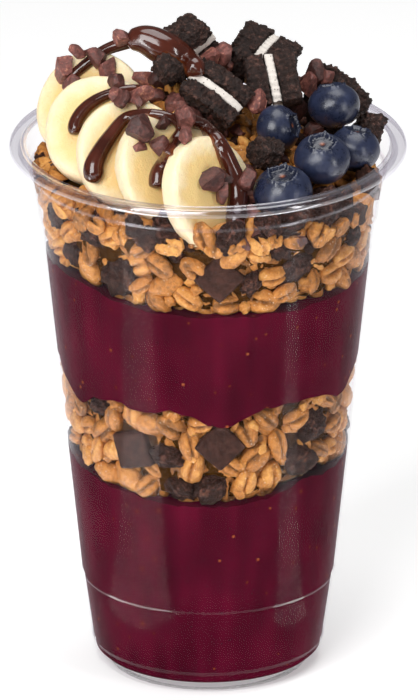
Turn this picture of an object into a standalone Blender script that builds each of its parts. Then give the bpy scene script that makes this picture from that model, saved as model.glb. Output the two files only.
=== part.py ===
"""A clear plastic acai cup, filled in layers and topped with fruit and cookies.

The cup stands on its foot ring at the origin, +Z up, and its front faces -Y.
Angles round the cup are measured from the front, positive towards +X.
Lengths are in metres, written as millimetres times MM.
"""

import math
import random

import bmesh
import bpy
from mathutils import Matrix, Vector

MM = 0.001
GAP = 0.3 * MM  # air kept between neighbouring solids
SIDES = 36  # facets round the cup and its layers

# Cup
CUP_HEIGHT = 136 * MM
RIM_RADIUS = 49 * MM
RIM_DEPTH = 2.6 * MM
WALL = 0.5 * MM
MOUTH_RADIUS = 44.9 * MM
COLLAR_TOP = (43.6 * MM, 128.2 * MM)
COLLAR_FOOT = (42.0 * MM, 117.4 * MM)
BODY_TOP = (41.2 * MM, 115.8 * MM)
BODY_FOOT = (31.6 * MM, 24.2 * MM)
BAND_TOP = (31.1 * MM, 22.8 * MM)
BAND_FOOT = (28.8 * MM, 6.4 * MM)
GROOVE = (28.1 * MM, 5.3 * MM)
HEEL_RADIUS = 4.3 * MM
FOOT_OUTER = 24.4 * MM
FOOT_INNER = 22.4 * MM
PUSH_UP = 1.8 * MM
STEP_RISE = 0.8 * MM  # height of the small ledge at the top of the collar
STEP_OUT = 0.4 * MM

# Layers: height at the wall in front, before the swells round the cup
ACAI_LOWER_TOP = 52.4 * MM
GRANOLA_MID_TOP = 78.2 * MM
ACAI_UPPER_TOP = 104.2 * MM
HEAP_CENTRE = 133.4 * MM
HEAP_DROP = 7.6 * MM  # mean fall of the heap from its centre to the wall
HEAP_DROP_FRONT = 2.2 * MM
HEAP_DROP_RIGHT = 1.4 * MM
MOUND = 15 * MM  # how far the heap rises over its dome, and where
MOUND_WIDTH = 17 * MM
MOUND_PLACE = (-9 * MM, 9 * MM)

# Banana slices, from the back left round to the front
BANANA_RADIUS = 14.2 * MM
BANANA_THICKNESS = 5.4 * MM
BANANA_SIDES = 24
# Centre in mm, heading of the face in degrees from +X, and degrees it leans back from upright
BANANA_PLACES = (
    ((-28.9, 11.8, 140.4), -118, 37),
    ((-26.2, -4.2, 139.9), -98, 38),
    ((-18.7, -15.6, 137.8), -77, 32),
    ((-9.8, -22.9, 137.1), -60, 26),
    ((-0.2, -30.2, 133.6), -41, 20),
)

# Blueberries: radius, centre in mm, and where the crown points
BERRY_SIDES = 14
BERRY_FLATNESS = 0.86
BERRIES = (
    (6.6, (31.0, 9.0, 141.8), (-0.15, 0.25, 1.0)),
    (6.4, (17.2, -3.4, 140.3), (0.9, -0.35, 0.35)),
    (7.0, (28.0, -14.0, 136.4), (0.0, -0.35, 1.0)),
    (6.5, (36.0, -2.8, 134.8), (0.15, 0.1, 1.0)),
    (7.4, (18.4, -26.6, 132.4), (-0.05, -0.3, 1.0)),
)

# Sandwich cookies, broken into wedges
COOKIE_RADIUS = 22 * MM
CREAM = 2.1 * MM
RIDGE_PITCH = 4.6  # degrees of rim from one ridge to the next
RIDGE_DEPTH = 0.55 * MM
JAG = 0.9 * MM  # how far a broken edge wanders


def arc(centre, radius, start, end, steps):
    """(r, z) points on an arc, with angles in degrees from the +r direction."""
    points = []
    for i in range(steps + 1):
        angle = math.radians(start + (end - start) * i / steps)
        points.append((centre[0] + radius * math.cos(angle), centre[1] + radius * math.sin(angle)))
    return points


def inset(line, distance):
    """The line moved to its left by this distance, with mitred corners."""
    moved = []
    for i, (r, z) in enumerate(line):
        before, after = line[max(i - 1, 0)], line[min(i + 1, len(line) - 1)]
        into = Vector((r - before[0], z - before[1]))
        out = Vector((after[0] - r, after[1] - z))
        into = (into or out).normalized()
        out = (out or into).normalized()
        side = Vector((-into.y - out.y, into.x + out.x)).normalized()
        reach = distance / max(side.dot(Vector((-into.y, into.x))), 0.5)
        moved.append((r + side.x * reach, z + side.y * reach))
    return moved


def outer_line():
    """The outside of the cup's wall, from the middle of its floor up to under the rim."""
    heel_centre = (FOOT_OUTER, HEEL_RADIUS)
    heel = arc(heel_centre, HEEL_RADIUS, -90, -25, 4)
    return [
        (0, PUSH_UP),
        (FOOT_INNER - 2 * MM, PUSH_UP),
        (FOOT_INNER, 0),
        *heel,
        GROOVE,
        BAND_FOOT,
        BAND_TOP,
        BODY_FOOT,
        BODY_TOP,
        COLLAR_FOOT,
        COLLAR_TOP,
        (COLLAR_TOP[0] + STEP_OUT, COLLAR_TOP[1] + STEP_RISE),
        (MOUTH_RADIUS, CUP_HEIGHT - RIM_DEPTH),
    ]


def rim_line():
    """Round the rolled rim, from the wall's outer face over its outer edge to its inner face."""
    edge = RIM_DEPTH / 2
    outer = arc((RIM_RADIUS - edge, CUP_HEIGHT - edge), edge, -120, 90, 6)
    under = CUP_HEIGHT - 1.2 * MM
    return [
        (MOUTH_RADIUS + 0.5 * MM, under),
        (RIM_RADIUS - 2 * edge, under),
        *outer,
        (MOUTH_RADIUS + 0.6 * MM, CUP_HEIGHT),
        (MOUTH_RADIUS - 0.3 * MM, CUP_HEIGHT - 0.7 * MM),
    ]


def inner_radius(height):
    """Radius of the cup's inner face at a height."""
    line = inset(outer_line(), WALL)
    line[0] = (0, PUSH_UP + WALL)
    for (r0, z0), (r1, z1) in zip(line[2:], line[3:]):
        if z0 <= height <= z1 and z1 > z0:
            return r0 + (r1 - r0) * (height - z0) / (z1 - z0)
    return line[-1][0]


def contents_radius(height):
    return inner_radius(height) - GAP


def add_object(name, mesh_maker, material, smooth_angle=40):
    mesh = bpy.data.meshes.new(name)
    mesh_maker.to_mesh(mesh)
    mesh_maker.free()
    made = bpy.data.objects.new(name, mesh)
    bpy.context.scene.collection.objects.link(made)
    made.data.materials.append(material)
    mesh.shade_smooth()
    mesh.set_sharp_from_angle(angle=math.radians(smooth_angle))
    return made


def make_material(name, colour, roughness, alpha=1.0):
    material = bpy.data.materials.new(name)
    material.use_nodes = True
    shader = material.node_tree.nodes["Principled BSDF"]
    shader.inputs["Base Color"].default_value = (*colour, 1)
    shader.inputs["Roughness"].default_value = roughness
    shader.inputs["Metallic"].default_value = 0
    shader.inputs["Alpha"].default_value = alpha
    material.diffuse_color = (*colour, alpha)
    return material


def ring_angle(side):
    return 2 * math.pi * side / SIDES


def skin(rings, first_pole, last_pole):
    """A closed mesh through rings of points, from one pole to the other."""
    bm = bmesh.new()
    first, last = bm.verts.new(first_pole), bm.verts.new(last_pole)
    loops = [[bm.verts.new(point) for point in ring] for ring in rings]
    count = len(loops[0])
    for i in range(count):
        j = (i + 1) % count
        bm.faces.new((first, loops[0][j], loops[0][i]))
        bm.faces.new((last, loops[-1][i], loops[-1][j]))
        for low, high in zip(loops, loops[1:]):
            bm.faces.new((low[i], low[j], high[j], high[i]))
    bmesh.ops.triangulate(bm, faces=bm.faces)
    bmesh.ops.recalc_face_normals(bm, faces=bm.faces)
    return bm


def turned(line):
    """A solid turned about Z from (r, z) points whose first and last lie on the axis."""
    rings = []
    for r, z in line[1:-1]:
        rings.append([
            (r * math.sin(ring_angle(i)), -r * math.cos(ring_angle(i)), z) for i in range(SIDES)
        ])
    return skin(rings, (0, 0, line[0][1]), (0, 0, line[-1][1]))


def make_cup(material):
    inner = inset(outer_line(), WALL)
    inner[0] = (0, PUSH_UP + WALL)
    line = [*outer_line(), *rim_line(), *reversed(inner)]
    return add_object("cup", turned(line), material)


def swell(angle, centre, width, height):
    """A smooth bump of this height, centred at an angle round the cup; all angles in degrees."""
    away = (math.degrees(angle) - centre + 180) % 360 - 180
    return height * math.exp(-((away / width) ** 2))


def acai_lower_top(angle):
    rise = 6.5 * MM * (1 - math.cos(angle)) * (0.5 + 0.5 * math.cos(angle / 2) ** 2)
    bumps = swell(angle, 42, 13, 2.4 * MM) + swell(angle, 150, 30, -3 * MM)
    return ACAI_LOWER_TOP + rise + bumps


def granola_mid_top(angle):
    dips = (
        (5, 10, -4.4), (-60, 8, -4.2), (63, 9, -2.6), (-27, 6, -1.2), (84, 10, 3.0),
        (-84, 10, 3.6), (130, 16, -3.4), (180, 14, -4.8), (-140, 15, -3.2),
    )
    return GRANOLA_MID_TOP + sum(swell(angle, c, w, h * MM) for c, w, h in dips)


def acai_upper_top(angle):
    tilt = 2.4 * MM * (1 - math.cos(angle - math.radians(15)))
    return ACAI_UPPER_TOP + tilt + swell(angle, -58, 26, 2.4 * MM)


def heap_top(x, y):
    """Height of the granola heap under the toppings."""
    reach = math.hypot(x, y)
    angle = math.atan2(x, -y)
    drop = HEAP_DROP + HEAP_DROP_FRONT * math.cos(angle) + HEAP_DROP_RIGHT * math.sin(angle)
    lumps = 0.5 * MM * math.sin(6 * angle + reach * 300) * min(reach / (20 * MM), 1)
    away = math.hypot(x - MOUND_PLACE[0], y - MOUND_PLACE[1])
    mound = MOUND * math.exp(-((away / MOUND_WIDTH) ** 2))
    return HEAP_CENTRE - drop * (reach / (42 * MM)) ** 2 + mound + lumps


def edge_ring(height_at, lift=0):
    """Points just inside the wall at the heights that a layer's edge has round the cup."""
    ring = []
    for i in range(SIDES):
        angle = ring_angle(i)
        z = height_at(angle) + lift
        r = contents_radius(z)
        ring.append((r * math.sin(angle), -r * math.cos(angle), z))
    return ring


def level_ring(z):
    return edge_ring(lambda angle: z)


def inner_ring(edge, centre_height, share):
    """The edge ring drawn in to a share of its radius, easing to the centre's height."""
    ease = share * share
    return [
        (x * share, y * share, centre_height + (z - centre_height) * ease) for x, y, z in edge
    ]


def layer(name, low, high, walls, centres, material):
    """A filling between two edge rings, with level rings up the wall between them."""
    rings = [
        inner_ring(low, centres[0], 0.5),
        low,
        *[level_ring(z) for z in walls],
        high,
        inner_ring(high, centres[1], 0.5),
    ]
    return add_object(name, skin(rings, (0, 0, centres[0]), (0, 0, centres[1])), material)


def make_acai_lower(material):
    """The lower acai fills the cup's floor, heel and grooved band."""
    floor_line = [point for point in inset(outer_line(), WALL + GAP) if point[1] < BODY_FOOT[1] + MM]
    floor_line[0] = (0, PUSH_UP + WALL + GAP)
    rings = []
    for r, z in floor_line[1:]:
        rings.append([
            (r * math.sin(ring_angle(i)), -r * math.cos(ring_angle(i)), z) for i in range(SIDES)
        ])
    edge = edge_ring(acai_lower_top)
    centre = ACAI_LOWER_TOP + 2 * MM
    rings += [edge, inner_ring(edge, centre, 0.5)]
    return add_object("acai_lower", skin(rings, (0, 0, floor_line[0][1]), (0, 0, centre)), material)


def make_granola_mid(material):
    low, high = edge_ring(acai_lower_top, GAP), edge_ring(granola_mid_top)
    centres = (ACAI_LOWER_TOP + 2 * MM + GAP, GRANOLA_MID_TOP - MM)
    return layer("granola_mid", low, high, (), centres, material)


def make_acai_upper(material):
    low, high = edge_ring(granola_mid_top, GAP), edge_ring(acai_upper_top)
    centres = (GRANOLA_MID_TOP - MM + GAP, ACAI_UPPER_TOP + MM)
    return layer("acai_upper", low, high, (), centres, material)


def make_granola_top(toppings, material):
    """The upper granola, heaped towards the middle and dented where each topping is pressed in."""
    low = edge_ring(acai_upper_top, GAP)
    centre = ACAI_UPPER_TOP + MM + GAP
    rings = [inner_ring(low, centre, 0.5), low]
    shoulder = [BODY_TOP[1] - 0.2 * MM, COLLAR_FOOT[1] + 0.4 * MM]
    rings += [level_ring(z) for z in shoulder]
    for share in (1, 0.8, 0.6, 0.4, 0.2):
        ring = []
        for i in range(SIDES):
            angle = ring_angle(i)
            reach = contents_radius(COLLAR_TOP[1] - 4 * MM) * share
            x, y = reach * math.sin(angle), -reach * math.cos(angle)
            ring.append((x, y, heap_top(x, y)))
        rings.append(ring)
    bm = skin(rings, (0, 0, centre), (0, 0, HEAP_CENTRE))
    heap = add_object("granola_top", bm, material)
    for topping in toppings:
        dent = heap.modifiers.new("dent", "BOOLEAN")
        dent.operation = "DIFFERENCE"
        dent.solver = "EXACT"
        dent.object = make_dent(topping)
    return heap


def make_dent(solids):
    """A cutter that is the hull of these solids, a little larger all round."""
    bm = bmesh.new()
    for solid in solids:
        for vertex in solid.data.vertices:
            bm.verts.new(solid.matrix_world @ vertex.co)
    hull = bmesh.ops.convex_hull(bm, input=bm.verts)
    spare = {item for item in hull["geom_interior"] if isinstance(item, bmesh.types.BMVert)}
    bmesh.ops.delete(bm, geom=list(spare), context="VERTS")
    bmesh.ops.dissolve_limit(bm, angle_limit=math.radians(4), verts=bm.verts, edges=bm.edges)
    bmesh.ops.triangulate(bm, faces=bm.faces)
    bmesh.ops.recalc_face_normals(bm, faces=bm.faces)
    bm.normal_update()
    for vertex, normal in [(v, v.normal.copy()) for v in bm.verts]:
        vertex.co += normal * 2 * GAP
    cutter = add_object("dent_for_" + solids[0].name, bm, solids[0].data.materials[0])
    cutter.hide_render = True
    cutter.display_type = "WIRE"
    return cutter


def facing(normal, up):
    """A rotation whose Z is the normal and whose Y is as near up as it can be."""
    z = Vector(normal).normalized()
    x = Vector(up).cross(z).normalized()
    return Matrix((x, z.cross(x), z)).transposed().to_4x4()


def placed(made, centre_mm, turn):
    made.matrix_world = Matrix.Translation(Vector(centre_mm) * MM) @ turn
    return made


def banana_slice():
    """A slightly three-sided disc with rounded edges, its faces along Z."""
    half = BANANA_THICKNESS / 2
    edge = 1.1 * MM
    rings = []
    for inward, height in ((edge, -half), (0, -half + edge), (0, half - edge), (edge, half)):
        ring = []
        for i in range(BANANA_SIDES):
            angle = 2 * math.pi * i / BANANA_SIDES
            r = BANANA_RADIUS * (1 + 0.018 * math.cos(3 * angle)) - inward
            ring.append((r * math.cos(angle), r * math.sin(angle), height))
        rings.append(ring)
    return skin(rings, (0, 0, -half), (0, 0, half))


def make_bananas(material):
    made = []
    for i, (centre, heading, leaning) in enumerate(BANANA_PLACES):
        across, lean = math.radians(heading), math.radians(leaning)
        normal = (
            math.cos(across) * math.cos(lean), math.sin(across) * math.cos(lean), math.sin(lean)
        )
        piece = add_object(f"banana_{i + 1}", banana_slice(), material)
        made.append(placed(piece, centre, facing(normal, (0, 0, 1))))
    return made


def blueberry(radius):
    """A flattened ball with a hollow crown at its +Z end."""
    crown = 0.36 * radius
    rings = []
    levels = [-62, -32, 0, 30, 58]
    for level in levels:
        reach = radius * math.cos(math.radians(level))
        height = BERRY_FLATNESS * radius * math.sin(math.radians(level))
        rings.append((reach, height))
    top = BERRY_FLATNESS * radius * 0.94
    rings += [(crown, top), (crown * 0.72, top), (crown * 0.6, top - 0.09 * radius)]
    loops = []
    for reach, height in rings:
        loops.append([
            (
                reach * math.cos(2 * math.pi * i / BERRY_SIDES),
                reach * math.sin(2 * math.pi * i / BERRY_SIDES),
                height,
            )
            for i in range(BERRY_SIDES)
        ])
    return skin(loops, (0, 0, -BERRY_FLATNESS * radius), (0, 0, top - 0.12 * radius))


def make_blueberries(material):
    made = []
    for i, (radius, centre, crown) in enumerate(BERRIES):
        piece = add_object(f"blueberry_{i + 1}", blueberry(radius * MM), material, 60)
        made.append(placed(piece, centre, facing(crown, (0, 1, 0.01))))
    return made


def broken_line(start, end, pieces, wander, dice):
    """Points from start towards end, without the end, that stray to both sides."""
    start, end = Vector(start), Vector(end)
    side = Vector((end.y - start.y, start.x - end.x)).normalized()
    points = []
    for i in range(pieces):
        stray = 0 if i == 0 else dice.uniform(-wander, wander)
        points.append(start.lerp(end, i / pieces) + side * stray)
    return points


def cookie_outline(half_angle, depth, foot, ridged, seed, shrink=0):
    """A wedge of a round cookie: its rim along the top, broken sides, and a blunt foot.

    The rim's middle is at (0, 0), and the wedge hangs down from it to -depth.
    """
    dice = random.Random(seed)
    radius = COOKIE_RADIUS - shrink
    steps = max(2, round(2 * half_angle / RIDGE_PITCH)) * 2
    rim = []
    for i in range(steps + 1):
        angle = math.radians(half_angle - 2 * half_angle * i / steps)
        r = radius - (RIDGE_DEPTH if ridged and i % 2 else 0)
        rim.append(Vector((r * math.sin(angle), r * math.cos(angle) - COOKIE_RADIUS)))
    left_foot, right_foot = (-foot + shrink, -depth + shrink), (foot - shrink, -depth + shrink)
    return [
        *rim,
        *broken_line(rim[-1], left_foot, 4, JAG, dice)[1:],
        *broken_line(left_foot, right_foot, 2, JAG, dice),
        *broken_line(right_foot, rim[0], 4, JAG, dice),
    ]


def slab(outline, low, high):
    """The outline as a flat plate between two heights."""
    bm = bmesh.new()
    face = bm.faces.new([bm.verts.new((p.x, p.y, low)) for p in outline])
    walls = bmesh.ops.extrude_face_region(bm, geom=[face])
    raised = [item for item in walls["geom"] if isinstance(item, bmesh.types.BMVert)]
    bmesh.ops.translate(bm, verts=raised, vec=(0, 0, high - low))
    bmesh.ops.triangulate(bm, faces=bm.faces)
    bmesh.ops.recalc_face_normals(bm, faces=bm.faces)
    return bm


def make_sandwich(name, centre, normal, up, shape, materials):
    """A wedge of sandwich cookie: wafer, cream and wafer, with the normal out of wafer a."""
    wafer, *plan = shape
    *plan, seed = plan
    wafer_material, cream_material = materials
    half = CREAM / 2
    turn = facing(normal, up)
    layers = (
        ("_wafer_a", half + GAP, half + GAP + wafer, seed, 0, wafer_material),
        ("_cream", -half, half, seed + 1, 0.7 * MM, cream_material),
        ("_wafer_b", -half - GAP - wafer, -half - GAP, seed + 2, 0, wafer_material),
    )
    made = []
    for ending, low, high, layer_seed, shrink, material in layers:
        outline = cookie_outline(*plan, layer_seed, shrink)
        made.append(placed(add_object(name + ending, slab(outline, low, high), material), centre, turn))
    return made


# Name; the rim's middle in mm; the way that wafer a faces; the way that the rim points; and the
# wafers' thickness, the wedge's half angle in degrees, depth and half width of foot, ridges, seed
SANDWICHES = (
    ("cookie_1", (-2.8, 12.0, 154.2), (-0.38, -0.46, 0.8), (0.4, -0.86, -0.31), (5.0 * MM, 17, 7.5 * MM, 3.2 * MM, False, 11)),
    ("cookie_2", (2.4, -2.2, 150.6), (-0.55, -0.71, -0.45), (0.5, -0.1, 0.86), (4.5 * MM, 21, 14 * MM, 5 * MM, False, 21)),
    ("cookie_3", (15.9, 6.0, 150.9), (-0.98, -0.1, -0.17), (-0.1, -0.75, 0.65), (4.8 * MM, 18, 12 * MM, 4.5 * MM, True, 31)),
    ("cookie_4", (15.6, 28.0, 152.4), (-0.88, 0.3, 0.37), (0.33, -0.1, 0.94), (6.0 * MM, 21, 12 * MM, 7 * MM, True, 41)),
)

# Loose pieces of wafer: name, rim's middle, the way the face looks, the way the rim points, shape
LOOSE_WAFERS = (
    ("cookie_5", (34.6, 24.2, 143.6), (0.05, -0.8, 0.6), (0.56, 0.5, 0.66), (5.0 * MM, 22, 14 * MM, 6 * MM, True, 51)),
    ("cookie_6", (40.4, 12.6, 138.2), (-0.9, -0.25, 0.35), (0.2, 0.5, 0.84), (4.4 * MM, 14, 9 * MM, 4 * MM, True, 61)),
)

# Chunks: name, centre in mm, size in mm, turn in degrees, seed
CHUNKS = (
    ("cookie_chunk_1", (-9.5, 2.4, 153.6), (7.0, 6.0, 6.0), (20, 30, 40), 71),
    ("cookie_chunk_2", (14.0, -15.0, 138.2), (7.0, 6.0, 6.8), (30, 20, 35), 81),
    ("cookie_chunk_3", (7.0, 17.8, 149.0), (5.4, 5.4, 9.0), (15, 15, 30), 91),
)


def chunk(size, seed):
    """An uneven block: a subdivided cube with its corners pushed about."""
    dice = random.Random(seed)
    bm = bmesh.new()
    bmesh.ops.create_cube(bm, size=1)
    bmesh.ops.subdivide_edges(bm, edges=bm.edges, cuts=1, use_grid_fill=True)
    for vertex in bm.verts:
        vertex.co = vertex.co.lerp(vertex.co.normalized() * 0.62, 0.45)
        vertex.co += Vector([dice.uniform(-0.06, 0.06) for _ in range(3)])
        vertex.co = Vector([c * s * MM for c, s in zip(vertex.co, size)])
    bmesh.ops.triangulate(bm, faces=bm.faces)
    bmesh.ops.recalc_face_normals(bm, faces=bm.faces)
    return bm


def make_cookies(wafer_material, cream_material):
    groups = []
    for name, centre, normal, up, shape in SANDWICHES:
        materials = (wafer_material, cream_material)
        groups.append(make_sandwich(name, centre, normal, up, shape, materials))
    for name, centre, normal, up, shape in LOOSE_WAFERS:
        wafer, *plan = shape
        bm = slab(cookie_outline(*plan), -wafer / 2, wafer / 2)
        groups.append([placed(add_object(name, bm, wafer_material), centre, facing(normal, up))])
    for name, centre, size, turn, seed in CHUNKS:
        rotation = Matrix.Identity(4)
        for axis, degrees in zip("XYZ", turn):
            rotation = Matrix.Rotation(math.radians(degrees), 4, axis) @ rotation
        groups.append([placed(add_object(name, chunk(size, seed), wafer_material), centre, rotation)])
    return groups


def clear_scene():
    for old in list(bpy.data.objects):
        bpy.data.objects.remove(old)


def main():
    clear_scene()
    clear_plastic = make_material("clear_plastic", (0.92, 0.93, 0.95), 0.05, 0.25)
    acai = make_material("acai", (0.12, 0.008, 0.035), 0.35)
    granola = make_material("granola", (0.6, 0.32, 0.11), 0.5)
    banana = make_material("banana", (0.87, 0.72, 0.38), 0.45)
    berry = make_material("blueberry", (0.03, 0.045, 0.12), 0.45)
    wafer = make_material("cookie", (0.02, 0.013, 0.011), 0.85)
    cream = make_material("cream", (0.78, 0.74, 0.67), 0.7)

    make_cup(clear_plastic)
    make_acai_lower(acai)
    make_granola_mid(granola)
    make_acai_upper(acai)
    bananas = make_bananas(banana)
    berries = make_blueberries(berry)
    cookies = make_cookies(wafer, cream)
    bpy.context.view_layer.update()
    toppings = [[piece] for piece in bananas + berries] + cookies
    make_granola_top(toppings, granola)


main()
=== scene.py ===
"""An acai cup: a clear cup of acai and granola, heaped with fruit, cookies, sauce and nibs.

Run as a script, it loads the frame, registers the add-on's classes and makes every piece.
Lengths are in metres. The cup stands on the origin, +Z up, with its front towards -Y.
"""

import math
import random

import bmesh
import bpy
import numpy as np
from bpy.props import FloatProperty, FloatVectorProperty, IntProperty, PointerProperty
from mathutils import Matrix, Vector, noise
from mathutils.bvhtree import BVHTree


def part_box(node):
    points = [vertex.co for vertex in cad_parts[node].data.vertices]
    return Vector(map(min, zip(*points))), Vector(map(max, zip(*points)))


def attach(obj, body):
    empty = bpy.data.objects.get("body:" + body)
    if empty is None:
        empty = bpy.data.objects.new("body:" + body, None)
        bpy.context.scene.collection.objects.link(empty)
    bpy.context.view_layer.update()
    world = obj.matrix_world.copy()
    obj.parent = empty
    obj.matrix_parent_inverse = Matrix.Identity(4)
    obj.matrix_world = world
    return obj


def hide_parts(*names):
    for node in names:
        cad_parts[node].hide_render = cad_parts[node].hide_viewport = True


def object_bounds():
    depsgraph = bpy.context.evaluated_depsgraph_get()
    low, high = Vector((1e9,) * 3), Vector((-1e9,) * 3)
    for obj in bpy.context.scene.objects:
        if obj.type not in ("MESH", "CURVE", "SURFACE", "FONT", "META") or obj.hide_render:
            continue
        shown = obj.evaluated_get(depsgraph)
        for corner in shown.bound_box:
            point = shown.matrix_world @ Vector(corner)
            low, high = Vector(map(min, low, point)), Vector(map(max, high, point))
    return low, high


bl_info = {
    "name": "Acai cup",
    "version": (1, 0, 0),
    "blender": (4, 5, 0),
    "location": "3D View > Sidebar > Acai cup",
    "description": "Makes a layered acai cup with its toppings",
    "category": "Add Mesh",
}

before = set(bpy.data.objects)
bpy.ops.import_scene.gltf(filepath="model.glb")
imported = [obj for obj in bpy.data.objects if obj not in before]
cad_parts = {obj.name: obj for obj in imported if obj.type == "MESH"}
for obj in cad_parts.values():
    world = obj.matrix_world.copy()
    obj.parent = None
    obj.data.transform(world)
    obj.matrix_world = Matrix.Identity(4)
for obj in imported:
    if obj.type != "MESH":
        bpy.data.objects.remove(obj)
CAD_BOX = [list(corner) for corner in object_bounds()]

MM = 0.001
ROUND = 144  # segments round the cup

# The wall's outer face, (radius, height) in mm, from the foot to under the rim
WALL_LINE = (
    (24.4, 0.0), (26.5, 0.5), (27.9, 1.9), (28.3, 3.6), (28.1, 5.2), (28.8, 6.4), (31.1, 22.8),
    (31.35, 23.4), (31.6, 24.2), (41.2, 115.8), (41.7, 116.7), (42.0, 117.4), (43.6, 128.2),
    (44.0, 128.7), (44.1, 129.2), (44.9, 133.4),
)
WALL_THICKNESS = 0.5 * MM
WALL_OVERLAP = 0.05 * MM  # how far the acai reaches into the wall
# The pushed-up base, (radius, height) in mm, from the middle out below and back in above
BASE_BELOW = ((0, 1.8), (19.5, 1.8), (21, 1.2), (22.4, 0))
BASE_ABOVE = ((25.0, 0.9), (23.4, 0.6), (22.0, 1.0), (21, 1.9), (19.5, 2.3), (0, 2.3))
FLOOR_EDGE = 2.4 * MM  # the wall's inner face starts above this height
MOULDED_LINES = ((5.3, 6.4), (22.8, 23.6), (128.3, 129.1))  # heights in mm
CUP_TOP = 136 * MM
RIM_REACH = 48.9 * MM
RIM_ROLL = 1.3 * MM  # radius of the rolled rim
# Before and after the roll: radius, and depth below the top, in mm
RIM_START = ((45.2, 1.7), (45.9, 1.3), (46.2, 1.3), (46.5, 1.7))
RIM_END = ((46.3, 0.1), (45.9, 0.35), (45.4, 0.15), (44.7, 0.6))
SLICE_RADIUS = 14.2 * MM

# How the layers' edges rise and fall round the cup: (degrees from the front, width, rise in mm)
LOWER_SWELLS = ((42, 13, 2.4), (150, 30, -3.0))
MID_SWELLS = (
    (5, 10, -4.4), (-60, 8, -4.2), (63, 9, -2.6), (-27, 6, -1.2), (84, 10, 3.0),
    (-84, 10, 3.6), (130, 16, -3.4), (180, 14, -4.8), (-140, 15, -3.2),
)
UPPER_SWELLS = ((-58, 26, 2.4),)

# The view of the front that the drape of sauce and nibs is laid out in
LOOK_UP = math.radians(21.2)
VIEW_UP = Vector((0, math.sin(LOOK_UP), math.cos(LOOK_UP)))
VIEW_OUT = Vector((0, -math.cos(LOOK_UP), math.sin(LOOK_UP)))

# Crown directions of the five blueberries
CROWNS = (
    (-0.15, 0.25, 1.0), (0.9, -0.35, 0.35), (0.0, -0.35, 1.0), (0.15, 0.1, 1.0), (-0.05, -0.3, 1.0),
)

# Sauce: the strands' courses in the front view, across and up in mm, and their widths in mm
STRANDS = {
    "over_first_slice": (
        ((-14, 152.5), (-20, 151), (-25.5, 149), (-29.5, 146), (-33, 143), (-35, 140)),
        (3.0, 3.0, 2.6, 2.6, 2.4, 2.4),
    ),
    "over_second_slice": (
        (
            (-12.5, 137.5), (-15, 139), (-20.5, 139), (-26.5, 137), (-30.5, 134), (-32.5, 130.5),
            (-32, 128),
        ),
        (2.0, 2.2, 2.4, 2.8, 3.2, 3.4, 3.6),
    ),
    "over_third_slice": (
        (
            (-6, 129.5), (-9, 132), (-14.5, 133), (-20, 132), (-23.5, 128), (-26.5, 123.5),
            (-28, 119.5), (-27, 116),
        ),
        (2.6, 2.4, 2.4, 2.8, 3.4, 4.0, 4.6, 4.6),
    ),
    "over_fourth_slice": (
        ((-5, 130), (-8, 126), (-10, 122), (-12, 118), (-12, 114.5)),
        (3.0, 3.2, 3.4, 4.2, 4.6),
    ),
    "over_fifth_slice": (
        (
            (-7.5, 132.5), (-4.5, 131.5), (-1, 130), (2.5, 126), (5, 121), (7, 115.5), (7, 109),
            (6.5, 104.5),
        ),
        (2.8, 3.0, 3.2, 3.6, 4.0, 4.4, 4.6, 4.8),
    ),
    "over_cookies": (
        ((-20, 151.5), (-15.5, 151.5), (-11, 149.5), (-6, 146.5), (-1, 143)),
        (4.0, 6.4, 7.4, 6.4, 3.4),
    ),
}

# Cacao nibs, across and up in the front view in mm
NIBS = (
    (-17, 155), (-20, 152), (-20, 147.5), (-16, 145), (-35, 144), (-34, 141), (-24.5, 144),
    (-22.5, 141), (-17, 141.5), (-11, 140), (-21, 136), (-17, 136.5), (-12.5, 136), (-7, 136),
    (-2.5, 133.5), (-7, 132), (-17, 129), (-13, 125), (-5, 126.5), (0, 116.5), (2.5, 113.5),
    (8, 128), (9, 117), (10, 112.5), (11, 107.5), (12, 103.5), (22.5, 135), (27, 130.5),
    (26.5, 143.5), (24.5, 140), (36.5, 119), (-0.5, 147.5), (4.5, 146), (3, 148.5), (12, 135.5),
    (-27.5, 147.5),
)

# Dark cookie lumps among the granola at the wall: degrees from the front, height, size in mm
WALL_LUMPS = (
    (-45, 123, 10.5), (-13.5, 124, 11.5), (-35, 113, 11), (-60, 114.5, 6), (-68, 123, 8),
    (26, 122.5, 9), (34, 115, 10), (41, 122, 9), (16, 112.5, 6), (55, 124.5, 11), (66, 117, 8),
    (8, 127, 6), (-26, 127, 6), (21, 128.5, 7), (33, 128.5, 8), (46, 129.5, 8), (78, 128, 8),
    (130, 118, 10), (160, 111, 8), (-140, 117, 10), (-110, 110, 9), (98, 112, 9), (-165, 121, 8),
    (-51, 74.5, 5.5), (-17.6, 65, 8), (-12, 56.5, 7), (1, 56.5, 7), (50, 69.5, 10), (43.5, 61.5, 9),
    (120, 64, 8), (150, 59, 7), (-120, 66, 8), (-155, 60, 7), (85, 62, 7), (-92, 58, 6),
)

# Chocolate squares at the wall: degrees from the front, height, turn in degrees
SQUARES = (
    (4, 114.5, 45), (5, 68.5, 45), (-33, 65.5, 15), (140, 66, 30), (-125, 113, 50), (110, 119, 15),
)

# Kinds of small piece that are modelled, and tries at placing them
FLAKE_KINDS, HEAP_KINDS, CRUMB_KINDS, NIB_KINDS = 8, 6, 5, 7
WALL_TRIES, HEAP_TRIES = 7000, 5000

# The picture: how far off the camera is, the height it aims at, and the width it takes in
CAMERA_DISTANCE = 5.0
AIM = Vector((0.25 * MM, 0, 80.7 * MM))
PICTURE_WIDTH = 172.8 * MM
SENSOR = 36  # mm


# ---- sizes and colours


def length(name, about, value):
    return FloatProperty(name=name, description=about, default=value * MM, subtype="DISTANCE")


def colour(name, about, value):
    return FloatVectorProperty(name=name, description=about, default=value, subtype="COLOR")


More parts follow.
